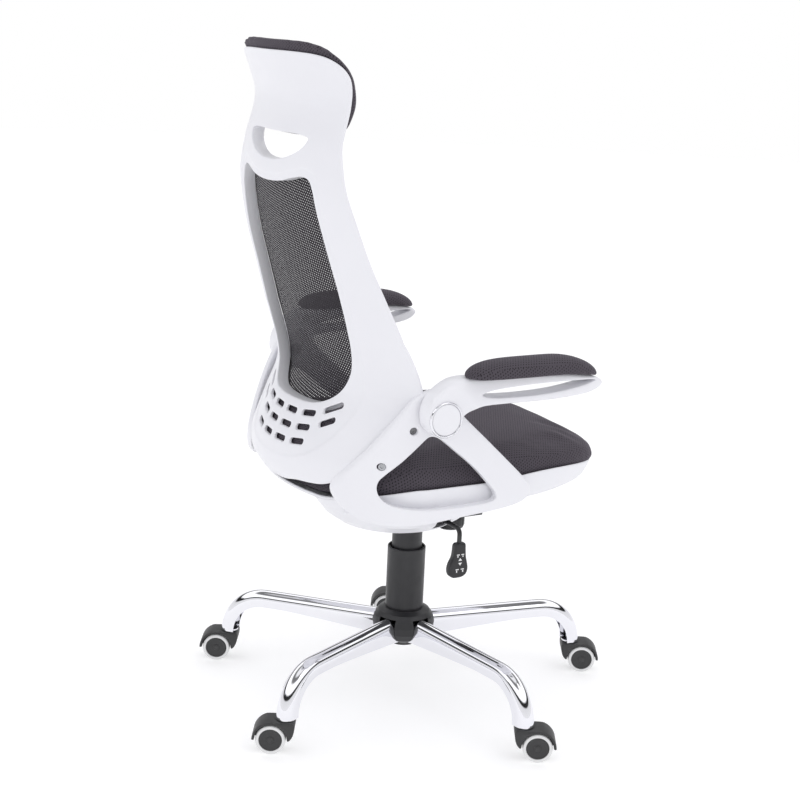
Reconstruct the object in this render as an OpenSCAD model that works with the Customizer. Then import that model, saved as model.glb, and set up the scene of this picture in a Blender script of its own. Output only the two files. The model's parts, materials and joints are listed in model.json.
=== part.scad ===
// High-back swivel chair: five-leg chrome base on twin casters, gas lift, tilt mechanism,
// one-piece white back shell with a stretched mesh window, and flip-up padded arms.
// The sitter faces -Y, the sitter's left is +X, and the origin is on the floor under the column.

/* [Base] */
// Distance from the column to each caster stem
stem_radius = 338; // [280:1:380]
// Height of the top of the legs above the floor
leg_top = 143; // [110:1:170]
// Width of a leg's pressed steel channel
leg_w = 33; // [26:1:42]
// Height of the channel at mid-leg
leg_h = 28; // [22:1:36]
// Steel thickness of the legs
leg_wall = 2; // [1.2:0.1:3]
// Direction of the first leg, counted from +X
leg_angle = -27.6; // [-180:0.1:180]
// Height of the leg ends above the floor
leg_end_z = 57; // [45:1:80]

/* [Casters] */
// Diameter of each caster wheel
wheel_d = 50; // [40:1:65]
// Width of one of the two wheels
wheel_w = 17; // [12:0.5:22]
// Distance from the caster stem to the wheel axle
trail = 22; // [15:1:30]
// Diameter of the steel stem
stem_d = 11; // [8:0.5:12]

/* [Column] */
// Outer diameter of the gas cylinder
cylinder_d = 50; // [45:1:55]
// Diameter of the gas piston
piston_d = 28; // [25:1:30]
// Outer diameter of the lower dust sleeve
sleeve_d = 68; // [60:1:76]
// Height of the top of the lower dust sleeve
sleeve_top = 270; // [230:1:300]

/* [Seat] */
// Half the width of the seat pan
seat_half = 246; // [210:1:270]
// Distance the seat reaches in front of the column
seat_front = 300; // [240:1:340]
// Height of the top of the cushion above the floor
seat_top = 508; // [440:1:560]
// Height of the side rim of the pan
rim_z = 455; // [420:1:480]

/* [Back] */
// Height of the top edge of the back shell
shell_top = 1130; // [1000:1:1200]
// Moulded wall thickness of the shell
shell_t = 6; // [3:0.5:8]
// Distance from the outside of the shell to the mesh
mesh_depth = 25; // [12:1:35]

/* [Arms] */
// Distance from the middle of the chair to the middle of each padded rest
arm_x = 303; // [280:1:340]
// Distance of the arm's pivot behind the column
pivot_y = 113; // [80:1:150]
// Height of the arm's pivot above the floor
pivot_z = 586; // [540:1:620]
// Width of the padded rest
pad_w = 74; // [55:1:90]

/* [Hidden] */
$fn = 64;

white = "#ECECF0";
charcoal = "#4A444C";
black = "#303032";
chrome = "#C9C9D2";
steel = "#8E9094";
hood_grey = "#424242";

fit = 0.04;              // radial clearance of a pin in its bore
legs = 5;
leg_step = -72;
trail_angle = [60, -120, -120, 60, 60];   // direction in which each caster trails its stem
wheel_gap = 9;           // space between the twin wheels, taken by the caster's web
axle_d = 6;
hub_d = 62;
bend_r = leg_top - leg_h / 2 - leg_end_z;

housing_z = 325;         // underside of the mechanism
tilt_y = -45;
tilt_z = 370;
plate_z = 404;
knob_y = -87;
lever_z = 355;
lever_pivot_x = -34;
lever_out_x = -176;
lever_d = 8;
valve_d = 8;

// ---------- base ----------
// An inverted channel with a half-round top; x is its width and y its height.
module channel() {
    round_y = leg_h / 2 - leg_w / 2;
    inner_w = leg_w - 2 * leg_wall;
    intersection() {
        translate([-leg_w / 2, -leg_h / 2]) square([leg_w, leg_h]);
        difference() {
            union() {
                translate([0, round_y]) circle(d = leg_w);
                translate([-leg_w / 2, -leg_h]) square([leg_w, leg_h + round_y]);
            }
            translate([0, round_y]) circle(d = inner_w);
            translate([-inner_w / 2, -leg_h - 1]) square([inner_w, leg_h + round_y + 1]);
        }
    }
}

module leg(i) {
    run_start = hub_d / 2 - 2;
    run_end = stem_radius - bend_r;
    web_start = hub_d / 2 + 1;
    web_end = 215;
    web_deep = 15;
    leg_mid = leg_top - leg_h / 2;
    color(chrome) rotate([0, 0, leg_angle + i * leg_step]) {
        difference() {
            union() {
                translate([run_start, 0, leg_mid]) rotate([90, 0, 90])
                    linear_extrude(run_end - run_start) channel();
                translate([run_end, 0, leg_mid - bend_r]) rotate([90, 0, 0])
                    rotate_extrude(angle = 90) translate([bend_r, 0]) rotate(-90) channel();
                for (side = [-1, 1])
                    translate([0, side * (leg_w - leg_wall) / 2 + leg_wall / 2, 0]) rotate([90, 0, 0])
                        linear_extrude(leg_wall) polygon([
                            [web_start, leg_top - leg_h + 1], [web_start, leg_top - leg_h - web_deep],
                            [web_end, leg_top - leg_h + 1]
                        ]);
            }
            translate([0, 0, leg_end_z]) cylinder(h = leg_top, d = hub_d);
        }
    }
}

module stem_places() {
    for (i = [0 : legs - 1])
        rotate([0, 0, leg_angle + i * leg_step]) translate([stem_radius, 0, 0]) children();
}

// Steel sockets welded into the leg ends, which take the caster stems.
module stem_sockets() {
    socket_h = 22;
    flange_d = leg_w - 2 * leg_wall - 0.6;
    color(steel) stem_places() difference() {
        union() {
            translate([leg_h / 2 - leg_w / 2, 0, leg_end_z]) cylinder(h = 2.5, d = flange_d);
            translate([0, 0, leg_end_z]) cylinder(h = socket_h, d = stem_d + 6);
        }
        translate([0, 0, leg_end_z - 1]) cylinder(h = socket_h + 2, d = stem_d + 2 * fit);
    }
}

module hub_tube() {
    color(black) difference() {
        translate([0, 0, 92]) cylinder(h = 54, d = hub_d);
        translate([0, 0, 91]) cylinder(h = 56, d = cylinder_d);
    }
}

// Domed plastic cover over the middle of the base, notched where the legs pass.
module hub_cover() {
    color(black) difference() {
        rotate_extrude() polygon([
            [32, 155], [36, 155], [46, 150], [53, 141], [56, 129], [54, 116], [47, 104], [36, 96.5],
            [33, 96.5], [33, 99], [45, 106], [51.5, 117], [53.4, 129], [50.6, 140], [44.5, 147.6],
            [36, 152.4], [32, 152.4]
        ]);
        for (i = [0 : legs - 1])
            rotate([0, 0, leg_angle + i * leg_step])
                translate([32, -leg_w / 2 - 0.6, 95]) cube([40, leg_w + 1.2, leg_top - 95 + 0.6]);
    }
}

// ---------- column ----------
module gas_cylinder() {
    color(black) difference() {
        translate([0, 0, 88]) cylinder(h = 208, d = cylinder_d);
        translate([0, 0, 92]) cylinder(h = 180, d = cylinder_d - 3);
        translate([0, 0, 100]) cylinder(h = 200, d = piston_d + 2 * fit);
    }
}

// Tube of the dust cover, with its lower outer edge bevelled.
module sleeve(z0, z1, outer, inner) {
    bevel = (outer - inner) / 4;
    rotate_extrude() polygon([
        [inner / 2, z0], [outer / 2 - bevel, z0], [outer / 2, z0 + 4 * bevel],
        [outer / 2, z1 - bevel], [outer / 2 - bevel, z1], [inner / 2, z1]
    ]);
}

module lower_sleeve() {
    color(black) sleeve(155, sleeve_top, sleeve_d, sleeve_d - 5);
}

module middle_sleeve() {
    color(black) sleeve(172, sleeve_top - 3, sleeve_d - 7, sleeve_d - 10.6);
}

module upper_sleeve() {
    color(black) sleeve(186, housing_z, cylinder_d + 4, cylinder_d + 1);
}

module piston() {
    color(steel) difference() {
        translate([0, 0, 122]) cylinder(h = 222, d = piston_d);
        translate([0, 0, 330]) cylinder(h = 31, d = valve_d + 2 * fit);
    }
}

module valve_button() {
    color(steel) translate([0, 0, 336]) cylinder(h = 14, d = valve_d);
}

// ---------- tilt mechanism ----------
module mechanism_housing() {
    half_w = 44;
    wall = 3;
    length = 198;
    side = [
        [-128, housing_z], [70, housing_z], [70, 341], [10, 358], [-22, 376], [-62, 380],
        [-128, 366]
    ];
    color(black) difference() {
        union() {
            difference() {
                translate([-half_w, 0, 0]) rotate([90, 0, 90]) linear_extrude(2 * half_w) polygon(side);
                translate([-half_w + wall, -128 + wall, housing_z + wall])
                    cube([2 * (half_w - wall), length - 2 * wall, 100]);
            }
            translate([0, 0, housing_z]) cylinder(h = 17, d = 46);
            for (y = [-9, 6])
                translate([lever_pivot_x - 6, y, housing_z]) cube([12, 3, lever_z + 7 - housing_z]);
        }
        translate([0, 0, housing_z - 1]) cylinder(h = 40, d = piston_d + 2 * fit);
        translate([-60, tilt_y, tilt_z]) rotate([0, 90, 0]) cylinder(h = 120, d = 10);
        translate([0, knob_y, housing_z - 1]) cylinder(h = 10, d = 11);
        translate([lever_pivot_x, 20, lever_z]) rotate([90, 0, 0]) cylinder(h = 40, d = 5);
        translate([-half_w - 1, -6, lever_z - 6]) cube([wall + 2, 12, 14]);
    }
}

// Tilt pin with its two collars, and the small pin that the lever rocks on.
module pivot_pins() {
    color(steel) {
        translate([-58, tilt_y, tilt_z]) rotate([0, 90, 0]) cylinder(h = 116, d = 10);
        for (side = [-1, 1])
            translate([side * 55 - 3, tilt_y, tilt_z]) rotate([0, 90, 0]) cylinder(h = 6, d = 15);
        translate([lever_pivot_x, 11, lever_z]) rotate([90, 0, 0]) cylinder(h = 22, d = 5);
    }
}

module tension_bolt() {
    color(steel) {
        translate([0, knob_y, 308]) cylinder(h = 68, d = 10);
        translate([0, knob_y, 376]) cylinder(h = 3, d = 34);
        translate([0, knob_y, 379]) cylinder(h = 6, d = 17, $fn = 6);
    }
}

// The wound spring, as one outer sleeve.
module tension_spring() {
    color(steel) translate([0, knob_y, housing_z + 3]) difference() {
        cylinder(h = 48, d = 34);
        translate([0, 0, -1]) cylinder(h = 50, d = 25);
    }
}

module tension_washer() {
    color(steel) difference() {
        translate([0, knob_y, 322]) cylinder(h = 3, d = 34);
        translate([0, knob_y, 320]) cylinder(h = 6, d = 10.6);
    }
}

module tension_knob() {
    color(black) translate([0, knob_y, 293]) difference() {
        rotate_extrude() polygon([
            [0, 0], [19, 0], [25, 3], [27, 9], [27, 20], [25, 26], [20, 28.7], [0, 28.7]
        ]);
        translate([0, 0, 4]) cylinder(h = 30, d = 10 + 2 * fit);
        for (a = [0 : 30 : 330])
            rotate([0, 0, a]) translate([29.5, 0, -1]) cylinder(h = 32, d = 8);
    }
}

// The rod lies over the valve button, rocks on its pin, and turns down into the paddle.
module lever_rod() {
    bend = 10;
    color(black) difference() {
        union() {
            translate([lever_out_x + bend, 0, lever_z]) rotate([0, 90, 0])
                cylinder(h = 6 - lever_out_x - bend, d = lever_d);
            translate([lever_out_x + bend, 0, lever_z - bend]) rotate([90, 0, 180])
                rotate_extrude(angle = 90) translate([bend, 0]) circle(d = lever_d);
            translate([lever_out_x, 0, lever_z - 34]) cylinder(h = 24, d = lever_d);
            translate([lever_pivot_x, 4, lever_z]) rotate([90, 0, 0]) cylinder(h = 8, d = 13);
        }
        translate([lever_pivot_x, 10, lever_z]) rotate([90, 0, 0]) cylinder(h = 20, d = 5 + 2 * fit);
    }
}

module lever_paddle() {
    color(black) translate([lever_out_x, 0, 0]) difference() {
        rotate([90, 0, 90]) translate([0, 0, -6.5]) linear_extrude(13) polygon([
            [-10, 331], [9, 331], [11, 322], [13, 308], [20, 294], [21, 284], [17, 275],
            [8, 270], [-4, 270], [-13, 275], [-17, 284], [-16, 294], [-13, 308], [-11, 322]
        ]);
        translate([0, 0, lever_z - 34]) cylinder(h = 30, d = lever_d);
    }
}

module mechanism_plate() {
    wall = 2.5;
    flange_x = 48;
    half_l = 120;
    // x, y and height of each spacer
    spacers = [[100, -60, 14.3], [100, 95, 5.8], [-100, -60, 14.3], [-100, 95, 5.8]];
    color(black) difference() {
        union() {
            translate([-half_l, -100, plate_z]) cube([2 * half_l, 220, 3]);
            for (side = [-1, 1])
                translate([side * flange_x - wall / 2, 0, 0]) rotate([90, 0, 90])
                    linear_extrude(wall) polygon([
                        [-80, plate_z + 1], [-66, 366], [tilt_y - 9, 358], [tilt_y + 9, 358],
                        [-22, 376], [40, plate_z + 1]
                    ]);
            for (p = spacers)
                translate([p[0], p[1], plate_z]) cylinder(h = p[2], d = 16);
        }
        translate([-60, tilt_y, tilt_z]) rotate([0, 90, 0]) cylinder(h = 120, d = 10 + 2 * fit);
        for (p = spacers)
            translate([p[0], p[1], plate_z - 1]) cylinder(h = 30, d = 7);
    }
}

// Shallow dish that closes the underside round the column, open in front for the knob.
module mechanism_cover() {
    dish_y = 30;
    post_places = [[60, 157], [-60, 157], [134, 30], [-134, 30]];
    hole_r = sleeve_d / 2 + 2;
    color(white) difference() {
        union() {
            translate([0, dish_y, 0]) rotate_extrude($fn = 96) polygon([
                [0, 320], [76, 321.5], [103, 331], [125, 346], [142, 368], [152, 390], [158, 409],
                [155, 409], [149, 390.5], [139, 369.5], [122.5, 348.5], [101.5, 333.5], [75.5, 324],
                [0, 322.5]
            ]);
            for (p = post_places)
                translate([p[0], p[1], 368]) cylinder(h = under(p[1]) - 368, d = 10);
        }
        for (y = [-2, 22]) translate([0, y, 300]) cylinder(h = 30, r = hole_r);
        translate([-hole_r, -2, 300]) cube([2 * hole_r, 24, 30]);
        translate([-90, -160, 300]) cube([180, 121, 120]);
        translate([-48, -60, 300]) cube([96, 28, 120]);
        translate([-160, -14, 338]) cube([110, 32, 60]);
        translate([-82, 6, 305]) cube([14, 9, 60]);
        translate([-121, -130, 403]) cube([242, 251, 10]);
    }
}

// ---------- seat ----------
seat_mid_y = 100;        // the side rims run into the rounded rear here
seat_rear = 150;         // reach of the rounded rear behind seat_mid_y

function sgn_pow(v, p) = sign(v) * pow(abs(v), p);

// Plan outline of the seat, drawn in by d and then scaled by s about the middle:
// a squarish front and a half-oval rear, at the heights that z_of gives.
function seat_ring(d, z_of, s = 1, n = 72) = [
    for (i = [0 : n - 1])
        let (t = 360 * i / n,
             front = sin(t) < 0,
             power = front ? 2 / 5 : 1,
             reach = front ? seat_front + seat_mid_y - d : seat_rear - d,
             x = s * (seat_half - d) * sgn_pow(cos(t), power),
             y = s * (seat_mid_y + reach * sgn_pow(sin(t), power)))
        [x, y, z_of(x, y)]
];

// Closed solid through rings that have the same number of points each.
module loft(rings) {
    n = len(rings[0]);
    last = len(rings) - 1;
    polyhedron(
        points = [for (r = rings) each r],
        faces = concat(
            [[for (i = [0 : n - 1]) i]],
            [for (k = [0 : last - 1], i = [0 : n - 1]) let (j = (i + 1) % n)
                each [[k * n + i, (k + 1) * n + i, (k + 1) * n + j], [k * n + i, (k + 1) * n + j, k * n + j]]],
            [[for (i = [n - 1 : -1 : 0]) last * n + i]]
        )
    );
}

// The rim swells a little beside the sitter's thighs and dips behind.
function rim(y) =
    y > 120 ? rim_z - 33 * pow(min(1, (y - 120) / 110), 1.5)
    : y < -20 ? rim_z + 10 * sin(min(180, 180 * (-20 - y) / 260)) : rim_z;

// The underside is level behind and climbs towards the front edge.
function under(y) = y < 0 ? 410 + 38 * pow(-y / 300, 0.8) : 410;

module seat_pan() {
    color(white) loft([
        seat_ring(46, function(x, y) under(y), 0.1),
        seat_ring(46, function(x, y) under(y), 0.6),
        seat_ring(46, function(x, y) under(y)),
        seat_ring(14, function(x, y) min(rim(y) - 8, under(y) + 5)),
        seat_ring(3, function(x, y) min(rim(y) - 6, under(y) + 15)),
        seat_ring(0, function(x, y) rim(y) - 2),
        seat_ring(1, function(x, y) rim(y)),
        seat_ring(4, function(x, y) rim(y)),
        seat_ring(7, function(x, y) min(rim(y) - 3, under(y) + 17)),
        seat_ring(18, function(x, y) min(rim(y) - 4, under(y) + 9)),
        seat_ring(48, function(x, y) under(y) + 4),
        seat_ring(48, function(x, y) under(y) + 4, 0.6),
        seat_ring(48, function(x, y) under(y) + 4, 0.1)
    ]);
}

// Top of the upholstery: flat in the middle, with rolled sides, front and rear.
function crown(x, y) =
    let (front = y < -190 ? 22 * pow((-190 - y) / 110, 2) : 0,
         rear = y > 120 ? 42 * pow((y - 120) / 110, 1.5) : 0,
         side = 10 * pow(abs(x) / seat_half, 6))
    seat_top - front - rear - side;

// Height between the rim and the crown, by its share of the rise.
function puff(share) = function(x, y) rim(y) + share * (crown(x, y) - rim(y));

module seat_cushion() {
    color(charcoal) loft([
        seat_ring(52, function(x, y) under(y) + 4.6, 0.1),
        seat_ring(52, function(x, y) under(y) + 4.6, 0.6),
        seat_ring(52, function(x, y) under(y) + 4.6),
        seat_ring(24, function(x, y) min(rim(y) - 2, under(y) + 10)),
        seat_ring(10, function(x, y) min(rim(y) - 1, under(y) + 19)),
        seat_ring(8, function(x, y) rim(y) + 1),
        seat_ring(2, function(x, y) rim(y) + 4),
        seat_ring(1, puff(0.42)),
        seat_ring(6, puff(0.72)),
        seat_ring(20, puff(0.93)),
        seat_ring(60, puff(1)),
        seat_ring(60, puff(1), 0.6),
        seat_ring(60, puff(1), 0.1)
    ]);
}

// ---------- side brackets ----------
bracket_out = 264;
bracket_in = 250;
corner_y = 100;

// Point of an oval corner about [0, corner_y].
function oval(a, b, t) = [a * cos(t), corner_y + b * sin(t)];

module bracket_plan() {
    polygon(concat(
        [[bracket_in, -120], [bracket_out, -120]],
        [for (t = [0 : 4 : 52]) oval(bracket_out, 186, t)],
        [for (t = [50 : -5 : 0]) oval(bracket_in, 175, t)]
    ));
}

// Side outline of the triangular loop: y runs along x here, and z along y.
module bracket_side() {
    difference() {
        union() {
            translate([pivot_y, pivot_z]) circle(r = 40);
            polygon([
                [74, 597], [66, 586], [-50, 478], [-66, 462], [-78, 447], [-76, 432], [-60, 422],
                [-20, 414], [60, 408], [150, 400], [190, 402], [214, 410], [232, 426], [240, 448],
                [236, 468], [218, 498], [200, 526], [184, 552], [170, 574], [160, 590], [147, 608]
            ]);
        }
        polygon([
            [110, 549], [117, 549], [126, 544], [188, 478], [192, 466], [190, 452], [180, 440],
            [165, 433], [129, 428], [60, 426], [20, 427], [-6, 430], [-12, 437], [-8, 446],
            [3, 459], [34, 491], [88, 536], [100, 545]
        ]);
    }
}

// Each screw that holds a bracket to the shell: x, y, z and its turn about Z.
bracket_screw_places = [[256.5, 144, 559, -18], [233.5, 186.5, 499, -37]];

module at_bracket_screw(place) {
    translate([-place[0], place[1], place[2]]) rotate([0, 0, place[3]]) rotate([0, 90, 0]) children();
}

module bracket_right() {
    color(white) difference() {
        union() {
            intersection() {
                translate([-300, 0, 0]) rotate([90, 0, 90]) linear_extrude(200) bracket_side();
                mirror([1, 0, 0]) linear_extrude(700) bracket_plan();
            }
            // foot under the pan
            translate([-bracket_in - 1, -10, 403.5]) cube([80, 160, 6]);
            translate([-bracket_in - 1, -10, 403.5]) cube([6, 160, 16]);
        }
        // groove for the edge of the back shell
        back_panel(concat([436, 445, 455], steps(468, 648, 10)), function(z) smooth(z, back_half) + 1,
                   function(x, z) -0.7, function(x, z) shell_t + 0.7, 18);
        translate([-300, pivot_y, pivot_z]) rotate([0, 90, 0]) cylinder(h = 60, d = 12);
        for (place = bracket_screw_places) at_bracket_screw(place) {
            translate([0, 0, -20]) cylinder(h = 60, d = 5);
            translate([0, 0, -20]) cylinder(h = 20.5, d = 11);
        }
    }
}

module bracket_left() {
    mirror([1, 0, 0]) bracket_right();
}

module bracket_screws() {
    color(steel) for (side = [0, 1]) mirror([side, 0, 0])
        for (place = bracket_screw_places) at_bracket_screw(place) {
            translate([0, 0, 0.5]) cylinder(h = 17, d = 5);
            translate([0, 0, -2.1]) cylinder(h = 2.6, d = 10);
        }
}

// ---------- back ----------
// Height, distance behind the column at the middle, and half width of the shell.
back_line = [
    [437, 266], [455, 274], [490, 274], [540, 253], [600, 228], [680, 239], [760, 260], [840, 282],
    [920, 294], [980, 287], [1050, 270], [1095, 281], [1130, 297]
];
back_half = [
    [437, 130], [445, 158], [460, 180], [490, 190], [520, 202], [560, 230], [600, 252],
    [640, 257], [680, 257], [720, 250], [800, 231], [880, 213], [950, 190], [1000, 175],
    [1050, 174], [1090, 184], [1106, 180], [1118, 166], [1126, 146], [1130, 110]
];
back_bend = [[437, 1.4e-3], [500, 1.65e-3], [600, 1.5e-3], [700, 1.1e-3], [1130, 1.05e-3]];

// Smooth reading of a list of [height, value] pairs, with flat ends.
function smooth(z, t) =
    let (n = len(t) - 1,
         k = max([0, for (i = [0 : n - 1]) if (z >= t[i][0]) i]),
         a = t[k], b = t[min(k + 1, n)],
         before = t[max(k - 1, 0)], after = t[min(k + 2, n)],
         span = max(1, b[0] - a[0]),
         u = min(1, max(0, (z - a[0]) / span)),
         ma = span * (b[1] - before[1]) / max(1, b[0] - before[0]),
         mb = span * (after[1] - a[1]) / max(1, after[0] - a[0]))
    (2 * u * u * u - 3 * u * u + 1) * a[1] + (u * u * u - 2 * u * u + u) * ma
    + (3 * u * u - 2 * u * u * u) * b[1] + (u * u * u - u * u) * mb;

function back_y(x, z) = smooth(z, back_line) - lookup(z, back_bend) * x * x;

// Panel that follows the back: half(z) wide each way, between two depths behind its face.
module back_panel(heights, half, rear, front, columns) {
    function at(z, j, off) =
        let (x = half(z) * (2 * j / columns - 1)) [x, back_y(x, z) - off(x, z), z];
    loft([
        for (z = heights) concat(
            [for (j = [columns : -1 : 0]) at(z, j, rear)],
            [for (j = [0 : columns]) at(z, j, front)]
        )
    ]);
}

function steps(z0, z1, n) = [for (i = [0 : n]) z0 + (z1 - z0) * i / n];

window_half = [
    [572, 60], [580, 88], [595, 110], [615, 129], [640, 144], [680, 153], [740, 154], [830, 148],
    [900, 136], [924, 128], [934, 118], [940, 98]
];

// Outline of the mesh window, grown by d; the top edge sags in the middle.
module window_outline(d = 0) {
    polygon(concat(
        [for (p = window_half) [p[1] + d, p[0] + (p[0] < 600 ? -d : p[0] > 930 ? d : 0)]],
        [[40, 927 + d], [-40, 927 + d]],
        [for (i = [len(window_half) - 1 : -1 : 0]) let (p = window_half[i])
            [-p[1] - d, p[0] + (p[0] < 600 ? -d : p[0] > 930 ? d : 0)]]
    ));
}

module through_back() {
    translate([0, 400, 0]) rotate([90, 0, 0]) linear_extrude(400) children();
}

module rounded_slot(x, z, length, height, tilt) {
    translate([x, z]) rotate(tilt) union() {
        square([length - height / 2, height], center = true);
        square([length, height / 2], center = true);
        for (sx = [-1, 1], sz = [-1, 1])
            translate([sx * (length / 2 - height / 4), sz * height / 4]) circle(d = height / 2, $fn = 16);
    }
}

// Three rows of vents that curve up at their ends; the lowest row is the shortest.
module vents() {
    for (row = [0 : 2], column = [row == 2 ? 1 : 0 : row == 2 ? 4 : 5]) {
        x = (column - 2.5) * 46;
        rise = 5e-4 * x * x + 8.5e-8 * pow(x, 4);
        slope = 1e-3 * x + 3.4e-7 * pow(x, 3);
        length = abs(x) > 100 ? 38 - 6 * row : 33;
        rounded_slot(x, 547 - 23 * row + rise, length, 10.5, atan(0.85 * slope));
    }
}

module hand_hole() {
    polygon([
        [-104, 998], [-98, 1002], [-74, 1004], [0, 1004], [74, 1004], [98, 1002], [104, 998],
        [96, 986], [78, 975], [52, 966], [20, 961], [-20, 961], [-52, 966], [-78, 975], [-96, 986]
    ]);
}

module back_shell() {
    heights = concat([437, 445, 455], steps(468, 1080, 34), [1092, 1103, 1113, 1121, 1126, shell_top]);
    color(white) difference() {
        back_panel(heights, function(z) smooth(z, back_half), function(x, z) 0,
                   function(x, z) shell_t, 18);
        through_back() window_outline();
        through_back() hand_hole();
        through_back() vents();
    }
}

// Inner frame that holds the mesh in front of the shell.
module back_frame() {
    color(white) difference() {
        back_panel(steps(560, 956, 22), function(z) lookup(z, window_half) + 14,
                   function(x, z) shell_t + 0.6, function(x, z) mesh_depth - 1.6, 12);
        through_back() window_outline(0.5);
    }
}

module mesh_panel() {
    color(charcoal) back_panel(steps(562, 954, 22), function(z) lookup(z, window_half) + 12,
                               function(x, z) mesh_depth - 1, function(x, z) mesh_depth + 1, 12);
}

module lumbar_pad() {
    color(charcoal) back_panel(
        [455, 462, 474, 500, 530, 545, 553],
        function(z) 150 - 40 * pow(abs(z - 504) / 50, 4),
        function(x, z) shell_t + 4 + 3 * pow(abs(z - 504) / 50, 4),
        function(x, z) 34 - 12 * pow(abs(x) / 150, 4) - 12 * pow(abs(z - 504) / 50, 4), 12);
}

pad_half = [
    [1000, 150], [1006, 163], [1020, 172], [1050, 177], [1090, 187], [1110, 184], [1126, 172],
    [1138, 150], [1146, 112], [1148, 80]
];
pad_levels = concat([1000, 1006, 1013], steps(1022, 1122, 10), [1130.5, 1131.5, 1138, 1143, 1146, 1148]);
pad_thick = [[1000, 24], [1006, 32], [1020, 42], [1050, 48], [1100, 48], [1126, 42], [1140, 32], [1148, 20]];

module headrest_pad() {
    color(charcoal) back_panel(
        pad_levels,
        function(z) lookup(z, pad_half),
        function(x, z) z > shell_top + 1 ? 2 : shell_t + 1,
        function(x, z) lookup(z, pad_thick) - 18 * pow(abs(x) / 187, 4), 14);
}

// ---------- arms ----------
arm_w = 35;
arm_splay = 0.08;        // sideways shift of the arm for each mm in front of its boss
arm_in = bracket_out + 0.5;
arm_face = arm_in + arm_w;
cap_d = 51.8;

// Side outline of an arm: distance in front of the pivot, and height above it.
module arm_side() {
    difference() {
        polygon([
            [-24, -4], [-31, 8], [-25, 28], [-14, 42], [-2, 52], [14, 61], [34, 63], [60, 62],
            [120, 64], [200, 62], [250, 57], [272, 52], [278, 46], [270, 36], [250, 28],
            [200, 22], [150, 20], [100, 19], [60, 17], [44, 10], [33, 0], [24, -6]
        ]);
        polygon([
            [62, 37], [66, 33], [90, 30], [150, 31], [200, 35], [240, 42], [262, 49],
            [240, 50], [200, 50], [150, 48], [100, 45], [70, 41]
        ]);
    }
}

module arm_right() {
    color(white) difference() {
        union() {
            multmatrix([[1, arm_splay, 0, -arm_splay * (pivot_y + 31)], [0, 1, 0, 0], [0, 0, 1, 0]])
                translate([-arm_face, pivot_y, pivot_z]) mirror([0, 1, 0]) rotate([90, 0, 90])
                    linear_extrude(arm_w) arm_side();
            translate([-arm_face, pivot_y, pivot_z]) rotate([0, 90, 0]) cylinder(h = arm_w, r = 30);
        }
        translate([-arm_face - 12, pivot_y, pivot_z]) rotate([0, 90, 0]) cylinder(h = 12, r = 30.2);
        translate([-arm_face - 1, pivot_y, pivot_z]) rotate([0, 90, 0])
            cylinder(h = arm_w + 2, d = 12 + 2 * fit);
        translate([-arm_face - 1, pivot_y, pivot_z]) rotate([0, 90, 0]) cylinder(h = 7, d = cap_d);
    }
}

module arm_left() {
    mirror([1, 0, 0]) arm_right();
}

// Pivot bolts, each with a hexagonal nut against the inside of its bracket.
module arm_bolts() {
    nut_out = bracket_in - 3.2;
    nut_h = 6;
    color(steel) for (side = [0, 1]) mirror([side, 0, 0]) {
        translate([-arm_face + 6.4, pivot_y, pivot_z]) rotate([0, 90, 0])
            cylinder(h = arm_face - 6.4 - nut_out + nut_h, d = 12);
        translate([-nut_out, pivot_y, pivot_z]) rotate([0, 90, 0]) cylinder(h = nut_h, d = 21, $fn = 6);
    }
}

module arm_ring_right() {
    color(chrome) translate([-arm_face - 3, pivot_y, pivot_z]) rotate([0, 90, 0]) difference() {
        cylinder(h = 3, d = 58);
        translate([0, 0, -1]) cylinder(h = 5, d = cap_d);
    }
}

module arm_ring_left() {
    mirror([1, 0, 0]) arm_ring_right();
}

module arm_cap_right() {
    color(white) translate([-arm_face - 2, pivot_y, pivot_z]) rotate([0, 90, 0])
        cylinder(h = 8, d = cap_d);
}

module arm_cap_left() {
    mirror([1, 0, 0]) arm_cap_right();
}

// Padded rest: a long oval that droops at both ends over the arm's top edge.
module arm_pad_right() {
    length = 244;
    start_y = pivot_y - 34;
    function half(s) = pad_w / 2 * pow(max(0.02, 1 - pow(abs(2 * s - 1), 4.5)), 0.4);
    function rise(s) = 29 * pow(max(0.02, 1 - pow(abs(2 * s - 1), 3)), 0.5);
    function low(s) = pivot_z + 68 + (s > 0.65 ? -40 * pow(s - 0.65, 2) : 0);
    color(charcoal) loft([
        for (s = steps(0, 1, 20)) [
            for (a = [0 : 18 : 342]) [
                -arm_x + half(s) * cos(a),
                start_y - length * s,
                low(s) + (sin(a) > 0 ? (rise(s) - 3) * pow(sin(a), 0.8) : 3 * sin(a))
            ]
        ]
    ]);
}

module arm_pad_left() {
    mirror([1, 0, 0]) arm_pad_right();
}

// ---------- casters ----------
module at_caster(i) {
    rotate([0, 0, leg_angle + i * leg_step]) translate([stem_radius, 0, 0])
        rotate([0, 0, trail_angle[i] - leg_angle - i * leg_step]) children();
}

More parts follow.
